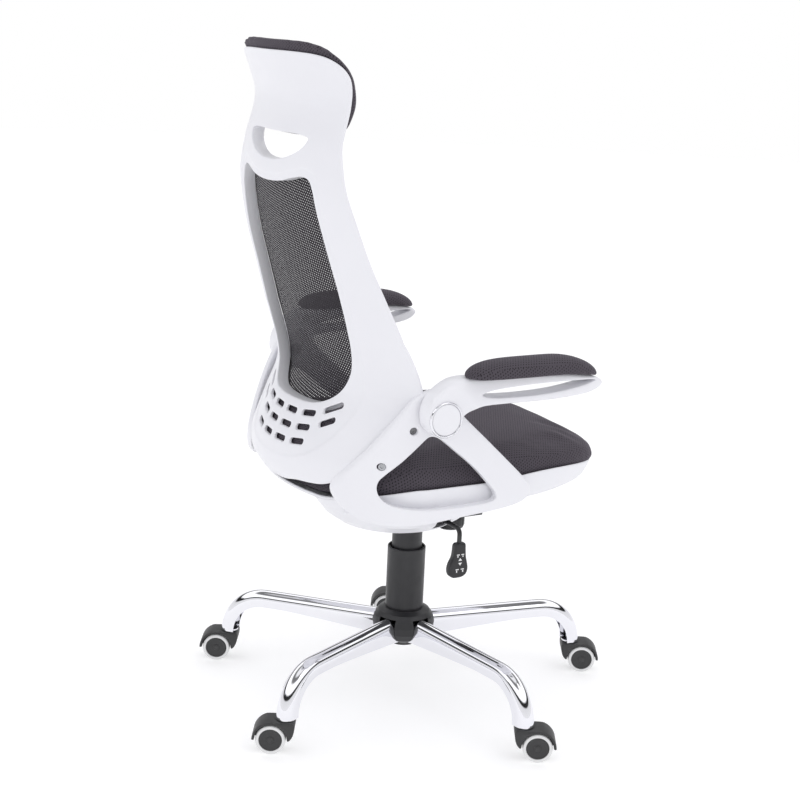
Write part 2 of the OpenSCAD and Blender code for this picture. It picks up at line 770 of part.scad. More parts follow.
// Hood with its web, stem and axle; +X here is the direction in which the wheels trail.
module caster(i) {
    web = wheel_gap - 1;
    hood_w = 46;
    axle_z = wheel_d / 2;
    at_caster(i) {
        color(hood_grey) difference() {
            union() {
                rotate([90, 0, 0]) translate([0, 0, -hood_w / 2]) linear_extrude(hood_w) intersection() {
                    union() {
                        translate([trail, axle_z]) circle(r = 31.5);
                        polygon([[-17, 55.5], [trail, 55.5], [trail, 25], [-7, 25], [-12, 30]]);
                    }
                    translate([-40, 24]) square([120, 31.5]);
                }
                translate([trail, web / 2, axle_z]) rotate([90, 0, 0]) cylinder(h = web, d = 18);
            }
            for (side = [-1, 1])
                translate([trail, side * (web / 2 + 20), axle_z]) rotate([90, 0, 0])
                    cylinder(h = 40, d = wheel_d + 4, center = true);
            translate([trail, 30, axle_z]) rotate([90, 0, 0]) cylinder(h = 60, d = axle_d);
            translate([0, 0, 42]) cylinder(h = 20, d = stem_d);
        }
        color(steel) {
            translate([0, 0, 42]) cylinder(h = 45, d = stem_d);
            translate([trail, 21, axle_z]) rotate([90, 0, 0]) cylinder(h = 42, d = axle_d);
        }
    }
}

// One of the twin wheels: a grey disc inside a pale tread.
module wheel(i, side) {
    tread_in = 0.78 * wheel_d;
    at_caster(i) translate([trail, side * (wheel_gap + wheel_w) / 2, wheel_d / 2]) rotate([90, 0, 0]) {
        color(white) difference() {
            cylinder(h = wheel_w, d = wheel_d, center = true);
            cylinder(h = wheel_w + 2, d = tread_in, center = true);
        }
        color(hood_grey) difference() {
            cylinder(h = wheel_w - 1, d = tread_in, center = true);
            cylinder(h = wheel_w + 2, d = axle_d + 2 * fit, center = true);
        }
    }
}

hub_tube();
hub_cover();
leg(0);  // leg_1
leg(1);  // leg_2
leg(2);  // leg_3
leg(3);  // leg_4
leg(4);  // leg_5
stem_sockets();
gas_cylinder();
lower_sleeve();
middle_sleeve();
piston();
valve_button();
mechanism_housing();
upper_sleeve();
pivot_pins();
tension_bolt();
tension_spring();
tension_washer();
tension_knob();
lever_rod();
lever_paddle();
mechanism_plate();
mechanism_cover();
seat_pan();
seat_cushion();
bracket_right();
bracket_left();
bracket_screws();
arm_bolts();
back_shell();
back_frame();
mesh_panel();
lumbar_pad();
headrest_pad();
arm_right();
arm_left();
arm_pad_right();
arm_pad_left();
arm_cap_right();
arm_cap_left();
arm_ring_right();
arm_ring_left();
caster(0);  // caster_1
caster(1);  // caster_2
caster(2);  // caster_3
caster(3);  // caster_4
caster(4);  // caster_5
wheel(0, -1);  // wheel_1a
wheel(0, 1);  // wheel_1b
wheel(1, -1);  // wheel_2a
wheel(1, 1);  // wheel_2b
wheel(2, -1);  // wheel_3a
wheel(2, 1);  // wheel_3b
wheel(3, -1);  // wheel_4a
wheel(3, 1);  // wheel_4b
wheel(4, -1);  // wheel_5a
wheel(4, 1);  // wheel_5b
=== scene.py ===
"""High-back swivel chair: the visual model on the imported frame. Helpers take millimetres in the row frame."""

import json
import math

import bmesh
import bpy
import numpy as np
from mathutils import Matrix, Vector
from mathutils.geometry import delaunay_2d_cdt

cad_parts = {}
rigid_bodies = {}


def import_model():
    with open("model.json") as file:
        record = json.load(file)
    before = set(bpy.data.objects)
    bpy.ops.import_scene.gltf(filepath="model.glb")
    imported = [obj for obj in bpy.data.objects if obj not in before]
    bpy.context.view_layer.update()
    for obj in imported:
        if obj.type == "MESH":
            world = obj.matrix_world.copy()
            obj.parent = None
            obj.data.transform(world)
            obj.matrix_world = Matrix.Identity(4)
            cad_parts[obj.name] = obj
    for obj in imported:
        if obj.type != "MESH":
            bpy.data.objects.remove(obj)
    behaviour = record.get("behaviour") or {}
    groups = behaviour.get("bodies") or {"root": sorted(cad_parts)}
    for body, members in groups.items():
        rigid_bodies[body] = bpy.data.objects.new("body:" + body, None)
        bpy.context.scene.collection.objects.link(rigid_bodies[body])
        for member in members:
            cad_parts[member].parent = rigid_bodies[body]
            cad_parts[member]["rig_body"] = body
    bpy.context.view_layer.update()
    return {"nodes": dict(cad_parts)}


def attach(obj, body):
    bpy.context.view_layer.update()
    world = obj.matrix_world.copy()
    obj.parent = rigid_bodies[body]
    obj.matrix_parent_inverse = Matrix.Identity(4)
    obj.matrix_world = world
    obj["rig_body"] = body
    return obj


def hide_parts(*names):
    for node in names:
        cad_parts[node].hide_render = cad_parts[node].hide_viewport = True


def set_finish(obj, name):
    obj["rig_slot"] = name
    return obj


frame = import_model()
scene = bpy.context.scene
TAU = 2 * math.pi


# ---------------------------------------------------------------- materials
def node(nt, kind, ins=None, **props):
    n = nt.nodes.new(kind)
    for k, v in props.items():
        setattr(n, k, v)
    for k, v in (ins or {}).items():
        if isinstance(v, bpy.types.NodeSocket):
            nt.links.new(v, n.inputs[k])
        else:
            n.inputs[k].default_value = v
    return n


def maths(nt, op, a, b=0.0, c=0.0):
    return node(nt, "ShaderNodeMath", {0: a, 1: b, 2: c}, operation=op).outputs[0]


def material(name, color, rough, metal=0.0, **sockets):
    m = bpy.data.materials.new(name)
    m.use_nodes = True
    b = m.node_tree.nodes["Principled BSDF"]
    b.inputs["Base Color"].default_value = (*color, 1)
    b.inputs["Roughness"].default_value = rough
    b.inputs["Metallic"].default_value = metal
    for k, v in sockets.items():
        b.inputs[k.replace("_", " ")].default_value = v
    return m, m.node_tree, b


def ramp(nt, fac, low, high, a=0.0, b=1.0):
    return node(nt, "ShaderNodeMapRange", {0: fac, 1: low, 2: high, 3: a, 4: b}).outputs[0]


def noise(nt, scale, detail=2.0):
    v = node(nt, "ShaderNodeTexCoord").outputs["Object"]
    return node(nt, "ShaderNodeTexNoise", {"Vector": v, "Scale": scale, "Detail": detail}).outputs["Fac"]


def mix(nt, fac, a, b):
    n = node(nt, "ShaderNodeMix", data_type="RGBA")
    for k, v in ((0, fac), (6, a), (7, b)):
        if isinstance(v, bpy.types.NodeSocket):
            nt.links.new(v, n.inputs[k])
        else:
            n.inputs[k].default_value = v if k == 0 else (*v, 1)
    return n.outputs[2]


def bump(nt, b, height, distance, strength=1.0):
    n = node(nt, "ShaderNodeBump", {"Height": height, "Distance": distance, "Strength": strength})
    nt.links.new(n.outputs[0], b.inputs["Normal"])


def plastic(name, dark, light, rough, grain=1400.0, depth=2e-5, worn=None, **sockets):
    """Moulded plastic: faint blotches, a fine grain and slightly scuffed edges."""
    m, nt, b = material(name, light, rough, **sockets)
    color = mix(nt, noise(nt, 9.0, 3.0), dark, light)
    if worn:
        edge = ramp(nt, node(nt, "ShaderNodeNewGeometry").outputs["Pointiness"], 0.53, 0.62)
        color = mix(nt, maths(nt, "MULTIPLY", edge, noise(nt, 60.0)), color, worn)
    nt.links.new(color, b.inputs["Base Color"])
    nt.links.new(ramp(nt, noise(nt, 35.0, 4.0), 0.3, 0.7, rough - 0.06, rough + 0.07), b.inputs["Roughness"])
    bump(nt, b, noise(nt, grain, 2.0), depth)
    return m


def dots(nt, pitch, turn=0.0):
    """Staggered round dots at that pitch, over whichever plane the surface faces most: 1 at a dot's centre."""
    tc = node(nt, "ShaderNodeTexCoord")
    facing = node(nt, "ShaderNodeVectorMath", {0: tc.outputs["Normal"]}, operation="ABSOLUTE").outputs[0]
    f = node(nt, "ShaderNodeSeparateXYZ", {0: facing}).outputs
    p = node(nt, "ShaderNodeSeparateXYZ", {0: tc.outputs["Object"]}).outputs
    up = maths(nt, "GREATER_THAN", f[2], maths(nt, "MULTIPLY", maths(nt, "MAXIMUM", f[0], f[1]), 0.9))
    side = maths(nt, "GREATER_THAN", f[0], f[1])

    def choose(flag, yes, no):
        return node(nt, "ShaderNodeMix", {0: flag, 2: no, 3: yes}, data_type="FLOAT").outputs[0]

    u = choose(maths(nt, "MAXIMUM", up, maths(nt, "SUBTRACT", 1.0, side)), p[0], p[1])
    v = choose(up, p[1], p[2])
    k = TAU / pitch
    c, s = math.cos(turn), math.sin(turn)
    uu = maths(nt, "ADD", maths(nt, "MULTIPLY", u, k * c), maths(nt, "MULTIPLY", v, k * s))
    vv = maths(nt, "ADD", maths(nt, "MULTIPLY", u, -k * s / 1.732), maths(nt, "MULTIPLY", v, k * c / 1.732))
    return maths(nt, "MULTIPLY", maths(nt, "COSINE", uu), maths(nt, "COSINE", vv))


def spacer_fabric(name, pitch=0.0048):
    """Charcoal 3-D spacer mesh: a lattice of yarn round small dark pits."""
    m, nt, b = material(name, (0.05, 0.043, 0.052), 0.78, Sheen_Weight=0.12, Sheen_Roughness=0.45,
                        Sheen_Tint=(0.75, 0.68, 0.8, 1), Specular_IOR_Level=0.25)
    d = dots(nt, pitch, 0.5)
    pit = ramp(nt, d, 0.35, 0.8)
    yarn = mix(nt, noise(nt, 14.0, 3.0), (0.038, 0.032, 0.04), (0.052, 0.045, 0.055))
    fleck = mix(nt, noise(nt, 1500.0, 2.0), yarn, (0.1, 0.087, 0.105))
    nt.links.new(mix(nt, pit, fleck, (0.007, 0.006, 0.008)), b.inputs["Base Color"])
    height = maths(nt, "SUBTRACT", maths(nt, "MULTIPLY", noise(nt, 1500.0, 2.0), 0.25), pit)
    bump(nt, b, height, 6e-4, 0.7)
    return m


def open_mesh(name, pitch=0.0048):
    """The same yarn stretched in a single layer, with real see-through holes."""
    m, nt, b = material(name, (0.03, 0.027, 0.032), 0.7, Specular_IOR_Level=0.15)
    d = dots(nt, pitch, 0.12)
    nt.links.new(mix(nt, ramp(nt, d, -0.6, 0.7), (0.042, 0.038, 0.045), (0.016, 0.014, 0.017)), b.inputs["Base Color"])
    nt.links.new(ramp(nt, d, 0.74, 0.84, 1.0, 0.0), b.inputs["Alpha"])
    bump(nt, b, maths(nt, "MULTIPLY", d, -1.0), 4e-4, 0.6)
    return m


def chrome_finish():
    m, nt, b = material("chrome", (0.83, 0.83, 0.87), 0.05, 1.0)
    nt.links.new(ramp(nt, noise(nt, 22.0, 4.0), 0.35, 0.8, 0.035, 0.11), b.inputs["Roughness"])
    nt.links.new(mix(nt, noise(nt, 5.0), (0.8, 0.8, 0.85), (0.86, 0.86, 0.88)), b.inputs["Base Color"])
    bump(nt, b, noise(nt, 38.0, 1.0), 8e-5, 0.35)
    return m


def metal(name, color, rough, grain):
    m, nt, b = material(name, color, rough, 1.0)
    n = noise(nt, grain, 3.0)
    nt.links.new(ramp(nt, n, 0.3, 0.7, rough - 0.08, rough + 0.1), b.inputs["Roughness"])
    nt.links.new(mix(nt, n, tuple(0.8 * c for c in color), color), b.inputs["Base Color"])
    bump(nt, b, n, 3e-5)
    return m


WHITE = plastic("white_moulding", (0.80, 0.80, 0.835), (0.83, 0.83, 0.86), 0.34, worn=(0.87, 0.87, 0.88),
                Specular_IOR_Level=0.5)
BLACK = plastic("black_moulding", (0.012, 0.012, 0.014), (0.019, 0.019, 0.021), 0.42, worn=(0.05, 0.05, 0.053))
PAINT = plastic("black_paint", (0.011, 0.011, 0.012), (0.018, 0.018, 0.019), 0.36, grain=700.0, worn=(0.08, 0.08, 0.08))
HOOD = plastic("dark_grey_moulding", (0.026, 0.026, 0.027), (0.036, 0.036, 0.037), 0.5, worn=(0.07, 0.07, 0.07))
TREAD = plastic("pale_tread", (0.72, 0.72, 0.72), (0.8, 0.8, 0.8), 0.5, grain=500.0)
PRINT = plastic("white_print", (0.75, 0.75, 0.75), (0.85, 0.85, 0.85), 0.5)
FABRIC = spacer_fabric("spacer_mesh")
# Near-black colour for the sheet beside the back mesh: painted shade where the mesh turns edge-on to its frame.
SHADE_STRIP = plastic("painted_shade_strip", (0.012, 0.011, 0.013), (0.03, 0.027, 0.031), 0.85, grain=1800.0, depth=2e-4)
MESH = open_mesh("stretched_mesh")
CHROME = chrome_finish()
STEEL = metal("zinc_steel", (0.5, 0.51, 0.53), 0.3, 300.0)
RAW = metal("dark_steel", (0.25, 0.25, 0.26), 0.4, 220.0)


# ---------------------------------------------------------------- shape helpers
def piece(name, verts, faces, mat, body, slot, replaces=(), closed=True, merge=0.0):
    """New mesh object from millimetre points, smooth shaded, riding on a body."""
    me = bpy.data.meshes.new(name)
    me.from_pydata((np.asarray(verts, float) * 0.001).tolist(), [], [tuple(int(i) for i in f) for f in faces])
    bm = bmesh.new()
    bm.from_mesh(me)
    if merge:
        bmesh.ops.remove_doubles(bm, verts=bm.verts, dist=merge * 0.001)
    if closed:
        bmesh.ops.recalc_face_normals(bm, faces=bm.faces)
    bm.to_mesh(me)
    bm.free()
    me.polygons.foreach_set("use_smooth", [True] * len(me.polygons))
    me.materials.append(mat)
    o = bpy.data.objects.new(name, me)
    scene.collection.objects.link(o)
    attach(o, body)
    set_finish(o, slot)
    if replaces:
        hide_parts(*replaces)
    return o


def sharpen(o, degrees=40):
    """Keeps shading sharp across edges steeper than that."""
    me = o.data
    bm = bmesh.new()
    bm.from_mesh(me)
    for e in bm.edges:
        if len(e.link_faces) == 2 and e.calc_face_angle(0) > math.radians(degrees):
            e.smooth = False
    bm.to_mesh(me)
    bm.free()
    return o


def curve(points, step=4.0, closed=True):
    """Smooth line through the points, about one point per step."""
    p = np.array(points, float)
    n = len(p)
    out = []
    for i in range(n if closed else n - 1):
        a, b, c, d = (p[(i + k - 1) % n] if closed else p[min(max(i + k - 1, 0), n - 1)] for k in range(4))
        ab, bc, cd = (max(1e-6, np.linalg.norm(v)) for v in (b - a, c - b, d - c))
        mb = (c - a) * bc / (ab + bc) if ab > 1e-5 else c - b
        mc = (d - b) * bc / (bc + cd) if cd > 1e-5 else c - b
        for u in np.arange(0, 1, 1 / max(1, math.ceil(bc / step))):
            out.append((2 * u**3 - 3 * u**2 + 1) * b + (u**3 - 2 * u**2 + u) * mb
                       + (3 * u**2 - 2 * u**3) * c + (u**3 - u**2) * mc)
    if not closed:
        out.append(p[-1])
    return np.array(out)


def inside(pts, loop):
    x, y = pts[:, 0, None], pts[:, 1, None]
    a, b = loop, np.roll(loop, -1, 0)
    span = (a[:, 1] > y) != (b[:, 1] > y)
    with np.errstate(divide="ignore", invalid="ignore"):
        cross = (b[:, 0] - a[:, 0]) * (y - a[:, 1]) / (b[:, 1] - a[:, 1]) + a[:, 0]
    return (span & (x < cross)).sum(1) % 2 == 1


def distance(pts, loop, closed=True):
    a = loop if closed else loop[:-1]
    b = np.roll(loop, -1, 0) if closed else loop[1:]
    d = b - a
    best = np.full(len(pts), 1e9)
    for k in range(0, len(pts), 2000):
        q = pts[k:k + 2000, None, :]
        t = np.clip(((q - a) * d).sum(2) / np.maximum(1e-9, (d * d).sum(1)), 0, 1)
        best[k:k + 2000] = np.linalg.norm(q - a - t[:, :, None] * d, axis=2).min(1)
    return best


def shrink(loop, d):
    """Loop moved d towards its own inside, or outside for a negative d."""
    t = np.roll(loop, -1, 0) - np.roll(loop, 1, 0)
    n = np.stack([-t[:, 1], t[:, 0]], 1) / np.maximum(1e-9, np.linalg.norm(t, axis=1))[:, None]
    x, y = loop[:, 0], loop[:, 1]
    turn = np.sign((x * np.roll(y, -1) - np.roll(x, -1) * y).sum())
    return loop + turn * d * n


def slab(name, outline, holes, place, thick, radius, mat, body, slot, grid=6.0, hole_radius=None,
         marks=(), **kw):
    """Rounded panel: a 2-D outline with holes, whose point (u, v) lies place(u, v, t) from t = 0, its outer
    face, to t = thick, its inner one. marks are open lines that the surface's points follow."""
    loops = [np.asarray(outline, float)] + [np.asarray(h, float) for h in holes]
    radii = [radius] + [radius if hole_radius is None else hole_radius] * len(holes)
    pts, edges = [], []

    def add(loop, closed=True):
        base = len(pts)
        pts.extend(loop.tolist())
        n = len(loop)
        edges.extend((base + i, base + (i + 1) % n) for i in range(n if closed else n - 1))

    for i, (loop, r) in enumerate(zip(loops, radii)):
        add(loop)
        for d in (0.076, 0.293, 0.617, 1.0):
            moved = shrink(loop, d * r if i == 0 else -d * r)
            add(moved)
    for line in marks:
        for off in (-2.2, -0.9, 0.9, 2.2):
            t = np.gradient(line, axis=0)
            add(line + off * np.stack([-t[:, 1], t[:, 0]], 1) / np.linalg.norm(t, axis=1)[:, None], False)
    lo, hi = loops[0].min(0), loops[0].max(0)
    us = np.arange(lo[0] + grid / 2, hi[0], grid)
    vs = np.arange(lo[1] + grid / 2, hi[1], grid)
    g = np.array([(u + (grid / 2 if j % 2 else 0), v) for j, v in enumerate(vs) for u in us])
    keep = inside(g, loops[0]) & (distance(g, loops[0]) > radius + grid * 0.4)
    for loop, r in zip(loops[1:], radii[1:]):
        keep &= ~inside(g, loop) & (distance(g, loop) > r + grid * 0.4)
    for line in marks:
        keep &= distance(g, line, False) > 2.2 + grid * 0.3
    pts.extend(g[keep].tolist())
    v2, _, tris, *_ = delaunay_2d_cdt([Vector(p) for p in pts], edges, [], 0, 1e-3)
    p = np.array([tuple(v) for v in v2])
    tris = np.array(tris, int)
    mid = p[tris].mean(1)
    ok = inside(mid, loops[0])
    for loop in loops[1:]:
        ok &= ~inside(mid, loop)
    tris = tris[ok]
    t = np.zeros(len(p))
    for loop, r in zip(loops, radii):
        d = np.minimum(distance(p, loop), r)
        t = np.maximum(t, r - np.sqrt(np.maximum(0, r * r - (r - d) ** 2)))
    t = np.minimum(t, thick / 2)
    outer = place(p[:, 0], p[:, 1], t)
    inner = place(p[:, 0], p[:, 1], thick - t)
    n = len(p)
    count = {}
    for a, b, c in tris.tolist():
        for e in ((a, b), (b, c), (c, a)):
            count[e] = count.get(e, 0) + 1
    rim = [e for e in count if (e[1], e[0]) not in count]
    faces = tris.tolist() + [(a + n, c + n, b + n) for a, b, c in tris.tolist()]
    faces += [(b, a, a + n, b + n) for a, b in rim]
    return piece(name, np.concatenate([outer, inner]), faces, mat, body, slot, merge=0.02, **kw)


def rings(name, layers, mat, body, slot, wrap=False, **kw):
    """Closed solid through rings of equal numbers of points; wrap joins the last ring to the first."""
    layers = [np.asarray(r, float) for r in layers]
    n, m = len(layers[0]), len(layers)
    faces = []
    for k in range(m if wrap else m - 1):
        a, b = k * n, (k + 1) % m * n
        faces += [(a + i, a + (i + 1) % n, b + (i + 1) % n, b + i) for i in range(n)]
    if not wrap:
        faces += [tuple(range(n - 1, -1, -1)), tuple((m - 1) * n + i for i in range(n))]
    return piece(name, np.concatenate(layers), faces, mat, body, slot, **kw)


def lathe(name, profile, centre, axis, mat, body, slot, segments=64, **kw):
    """Profile of (radius, height) points turned about an axis through centre; the ends close on the axis."""
    q = Vector((0, 0, 1)).rotation_difference(Vector(axis)).to_matrix()
    a = np.linspace(0, TAU, segments, endpoint=False)
    layers = []
    for r, h in profile:
        ring = np.stack([r * np.cos(a), r * np.sin(a), np.full(segments, h)], 1)
        layers.append(ring @ np.array(q).T + np.array(centre))
    return rings(name, layers, mat, body, slot, merge=0.001, **kw)


def flip(o, name, body=None, replaces=()):
    """Mirror image of a piece across the middle of the chair."""
    me = o.data.copy()
    me.name = name
    me.transform(Matrix.Scale(-1, 4, (1, 0, 0)))
    me.flip_normals()
    new = bpy.data.objects.new(name, me)
    scene.collection.objects.link(new)
    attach(new, body or o["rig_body"])
    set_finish(new, o["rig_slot"])
    if replaces:
        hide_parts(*replaces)
    return new


def modify(o, kind, **props):
    m = o.modifiers.new(kind.lower(), kind)
    for k, v in props.items():
        setattr(m, k, v)
    return m


def apply(o):
    dg = bpy.context.evaluated_depsgraph_get()
    me = bpy.data.meshes.new_from_object(o.evaluated_get(dg), depsgraph=dg)
    o.modifiers.clear()
    o.data = me
    me.polygons.foreach_set("use_smooth", [True] * len(me.polygons))
    return o


def stuff(o, cap, hold, voxel=6.0, pressure=4.0):
    """Blows a foam piece up as cloth under pressure. hold(p) is true where it stays put, and cap limits each move."""
    modify(o, "REMESH", mode="VOXEL", voxel_size=voxel * 0.001, use_smooth_shade=True)
    apply(o)
    co = np.array([v.co for v in o.data.vertices])
    pin = o.vertex_groups.new(name="pin")
    pin.add([int(i) for i in np.nonzero(hold(co * 1000))[0]], 1.0, "REPLACE")
    cloth = modify(o, "CLOTH").settings
    cloth.use_pressure = True
    cloth.uniform_pressure_force = pressure
    cloth.effector_weights.gravity = 0
    cloth.vertex_group_mass = "pin"
    cloth.quality = 4
    scene.frame_start, scene.frame_end = 1, 20
    for f in range(1, 21):
        scene.frame_set(f)
    apply(o)
    scene.frame_set(1)
    now = np.array([v.co for v in o.data.vertices])
    move = now - co
    far = np.linalg.norm(move, axis=1)
    move *= np.minimum(1, cap * 0.001 / np.maximum(far, 1e-9))[:, None]
    o.data.vertices.foreach_set("co", (co + move).ravel())
    o.vertex_groups.clear()
    modify(o, "SMOOTH", factor=0.5, iterations=4)
    modify(o, "SUBSURF", levels=1, render_levels=1)
    apply(o)
    return o


def smooth(z, table):
    """Smooth reading of (height, value) pairs, with flat ends, as the CAD model reads them."""
    t = np.array(table, float)
    z = np.asarray(z, float)
    n = len(t) - 1
    k = np.clip(np.searchsorted(t[:, 0], z, "right") - 1, 0, n)
    a, b = t[k], t[np.minimum(k + 1, n)]
    before, after = t[np.maximum(k - 1, 0)], t[np.minimum(k + 2, n)]
    span = np.maximum(1, b[..., 0] - a[..., 0])
    u = np.clip((z - a[..., 0]) / span, 0, 1)
    ma = span * (b[..., 1] - before[..., 1]) / np.maximum(1, b[..., 0] - before[..., 0])
    mb = span * (after[..., 1] - a[..., 1]) / np.maximum(1, after[..., 0] - a[..., 0])
    return ((2 * u**3 - 3 * u**2 + 1) * a[..., 1] + (u**3 - 2 * u**2 + u) * ma
            + (3 * u**2 - 2 * u**3) * b[..., 1] + (u**3 - u**2) * mb)


# ---------------------------------------------------------------- back
LINE = [(437, 266), (455, 274), (490, 274), (540, 253), (600, 228), (680, 239), (760, 260), (840, 282),
        (920, 294), (980, 287), (1050, 270), (1095, 281), (1130, 297)]
BEND = [(437, 1.4e-3), (500, 1.65e-3), (600, 1.5e-3), (700, 1.1e-3), (1130, 1.05e-3)]
HALF = [(475, 186), (490, 190), (520, 202), (560, 230), (600, 252), (640, 257), (680, 257), (720, 250), (800, 231),
        (880, 213), (950, 190), (1000, 175), (1050, 174), (1090, 184), (1106, 180), (1118, 167), (1126, 144),
        (1129.5, 100)]
WINDOW = [(60, 567), (88, 574), (110, 588), (129, 611), (144, 640), (153, 680), (154, 740), (148, 830), (136, 900),
          (130, 924), (121, 937), (104, 941), (84, 938), (45, 929)]
LIP = [(0, 475), (22, 475.5), (73, 482), (103, 494), (126, 513), (143, 536), (154, 560), (164, 600), (169, 645),
       (171, 700), (169, 760), (162, 835), (151, 900), (144, 930), (132, 948), (110, 955), (84, 951), (45, 941), (0, 938)]


def back_y(x, z):
    return smooth(z, LINE) - np.interp(z, *np.array(BEND).T) * np.asarray(x) ** 2


def both_sides(right, low=None, high=None):
    """Closed outline from the points of its +X half, listed upwards, and optional middle points."""
    r = list(right)
    l = [(-x, z) for x, z in reversed(r)]
    return ([(0, low)] if low else []) + r + ([(0, high)] if high else []) + l


lip_line = curve([(x, z) for x, z in LIP] + [(-x, z) for x, z in LIP[-2:0:-1]], 5.0)


def shell_place(x, z, t):
    p = np.stack([x, z], 1)
    d = distance(p, lip_line) * np.where(inside(p, lip_line), 1, -1)
    sunk = 1.6 / (1 + np.exp(-d / 0.8))
    return np.stack([x, back_y(x, z) - t - sunk, z], 1)


def slot_loop(x, z, length, height, tilt):
    a = np.radians(np.arange(0, 360, 15))
    r = height / 2 - 0.2
    p = np.stack([np.sign(np.cos(a)) * (length / 2 - r) + r * np.cos(a), 0.9 * r * np.sin(a)
                  + np.sign(np.sin(a)) * 0.1 * r], 1)
    c, s = math.cos(tilt), math.sin(tilt)
    return p @ np.array([[c, s], [-s, c]]) + (x, z)


vents = []
for row in range(3):
    for column in range(1 if row == 2 else 0, 5 if row == 2 else 6):
        vx = (column - 2.5) * 46
        rise = 5e-4 * vx * vx + 8.5e-8 * vx**4
        slope = 0.85 * (1e-3 * vx + 3.4e-7 * vx**3)
        length = 38 - 6 * row if abs(vx) > 100 else 33
        vents.append(slot_loop(vx, 547 - 23 * row + rise, length, 10.5, math.atan(slope)))

bottom = [(40, 434), (75, 441), (110, 445), (135, 449), (160, 458), (177, 467)]
shell_loop = curve(both_sides(bottom + [(w, z) for z, w in HALF], 432.5, 1130), 5.0)
window_loop = curve(both_sides(WINDOW, 565, 926), 4.0)
grip = [(-104, 998), (-99, 1001.5), (-74, 1004), (0, 1004), (74, 1004), (99, 1001.5), (104, 998), (96, 986), (78, 975),
        (52, 966), (20, 961), (-20, 961), (-52, 966), (-78, 975), (-96, 986)]
grip_loop = curve(grip, 4.0)
slab("shell_skin", shell_loop, [window_loop, grip_loop] + vents, shell_place, 6, 2.9, WHITE, "tilt", "white_plastic",
     grid=7.0, hole_radius=1.6, marks=[np.concatenate([lip_line, lip_line[:1]])], replaces=["back_shell"])


def wall(name, loop, t0, t1, thick, flange, **kw):
    """Inner wall of an opening in the shell, t0 to t1 deep, with a flange at its far end."""
    def at(l, t):
        return np.stack([l[:, 0], back_y(l[:, 0], l[:, 1]) - t, l[:, 1]], 1)
    a, b, f = shrink(loop, 0.2), shrink(loop, -thick), shrink(loop, -flange)
    profile = [(b, t0), (a, t0), (a, t1 - 1.5), (shrink(loop, -0.3), t1 - 0.4), (shrink(loop, -1.2), t1), (f, t1),
               (f, t1 - 3), (b, t1 - 3)]
    return rings(name, [at(l, t) for l, t in profile], WHITE, "tilt", "white_plastic", wrap=True, **kw)


sharpen(wall("window_wall", window_loop, 3.2, 23.2, 3.5, 15, replaces=["back_frame"]), 50)
sharpen(wall("grip_wall", grip_loop, 3.2, 22, 3.0, 5), 50)


def sheet_between(name, loop_a, loop_b, depth, mat, slot, **kw):
    n = len(loop_a)
    layers = [loop_a + (loop_b - loop_a) * s for s in np.linspace(0, 1, 4)]
    pts = np.concatenate([np.stack([l[:, 0], back_y(l[:, 0], l[:, 1]) - depth, l[:, 1]], 1) for l in layers])
    faces = [(k * n + i, k * n + (i + 1) % n, (k + 1) * n + (i + 1) % n, (k + 1) * n + i)
             for k in range(3) for i in range(n)]
    return piece(name, pts, faces, mat, "tilt", slot, closed=False, **kw)


# The stretched mesh: one layer over the window, bowed a little forward where the sitter leans.
u, v = np.meshgrid(np.linspace(-1, 1, 41), np.linspace(0, 1, 61))
mesh_rim = shrink(window_loop, -11)
zs = mesh_rim[:, 1].min() + (mesh_rim[:, 1].max() - mesh_rim[:, 1].min()) * v
pos = mesh_rim[mesh_rim[:, 0] > 0]
pos = pos[np.argsort(pos[:, 1])]
half_at = np.interp(zs, pos[:, 1], pos[:, 0])
mx = u * np.maximum(half_at, 20)
my = back_y(mx, zs) - 24.6
mesh_pts = np.stack([mx, my, zs], 2).reshape(-1, 3)
mesh_faces = [(r * 41 + c, r * 41 + c + 1, (r + 1) * 41 + c + 1, (r + 1) * 41 + c)
              for r in range(60) for c in range(40)]
mesh = piece("back_mesh", mesh_pts, mesh_faces, MESH, "tilt", "mesh", closed=False, replaces=["mesh_panel"])

# Painted shade: a near-black sheet edging the mesh where it stands off its frame and curves in towards it, widest
# beside the lumbar; it stands in for the dark, shaded look of the mesh turned edge-on there.
w = np.clip(1 - np.abs(window_loop[:, 1] - 690) / 140, 0, 1) ** 0.6 * 30
inner_edge = window_loop.copy()
inner_edge[:, 0] -= np.sign(inner_edge[:, 0]) * w
sheet_between("mesh_shade_strip", shrink(window_loop, -8), inner_edge, 24.2, SHADE_STRIP, "mesh")


def back_pad(name, heights, half, rear, front, columns=40):
    """Pad between two depths in front of the shell's face, with rounded sides."""
    layers = []
    for z in heights:
        a = np.linspace(0, math.pi, columns)
        x = -np.cos(a) * half(z)
        f = np.stack([x, back_y(x, z) - front(x, z), np.full(columns, z)], 1)
        r = np.stack([x, back_y(x, z) - rear(x, z), np.full(columns, z)], 1)
        layers.append(np.concatenate([r[::-1], f[1:-1]]))
    return rings(name, layers, FABRIC, "tilt", "fabric", replaces=[name.replace("_cover", "")])


PAD_HALF = [(1001, 150), (1006, 162), (1020, 171), (1050, 176), (1090, 186), (1110, 183), (1126, 171), (1138, 149),
            (1145, 118), (1147, 90)]
PAD_THICK = [(1001, 20), (1008, 31), (1022, 40), (1050, 44), (1100, 44), (1126, 38), (1140, 28), (1147, 14)]
head = back_pad(
    "headrest_pad_cover", np.concatenate([np.linspace(1001, 1130, 20), np.linspace(1134, 1147, 5)]),
    lambda z: float(np.interp(z, *np.array(PAD_HALF).T)),
    lambda x, z: np.full(len(x), 2.5 if z > 1132 else 6.6),
    lambda x, z: 7 + (np.interp(z, *np.array(PAD_THICK).T) - 7) * np.sqrt(np.maximum(0, 1 - (np.abs(x) / (
        float(np.interp(z, *np.array(PAD_HALF).T)) + 1)) ** 6)) - 14 * (np.abs(x) / 187) ** 4)
stuff(head, 4, lambda p: p[:, 1] > back_y(p[:, 0], p[:, 2]) - 9, voxel=5.0)

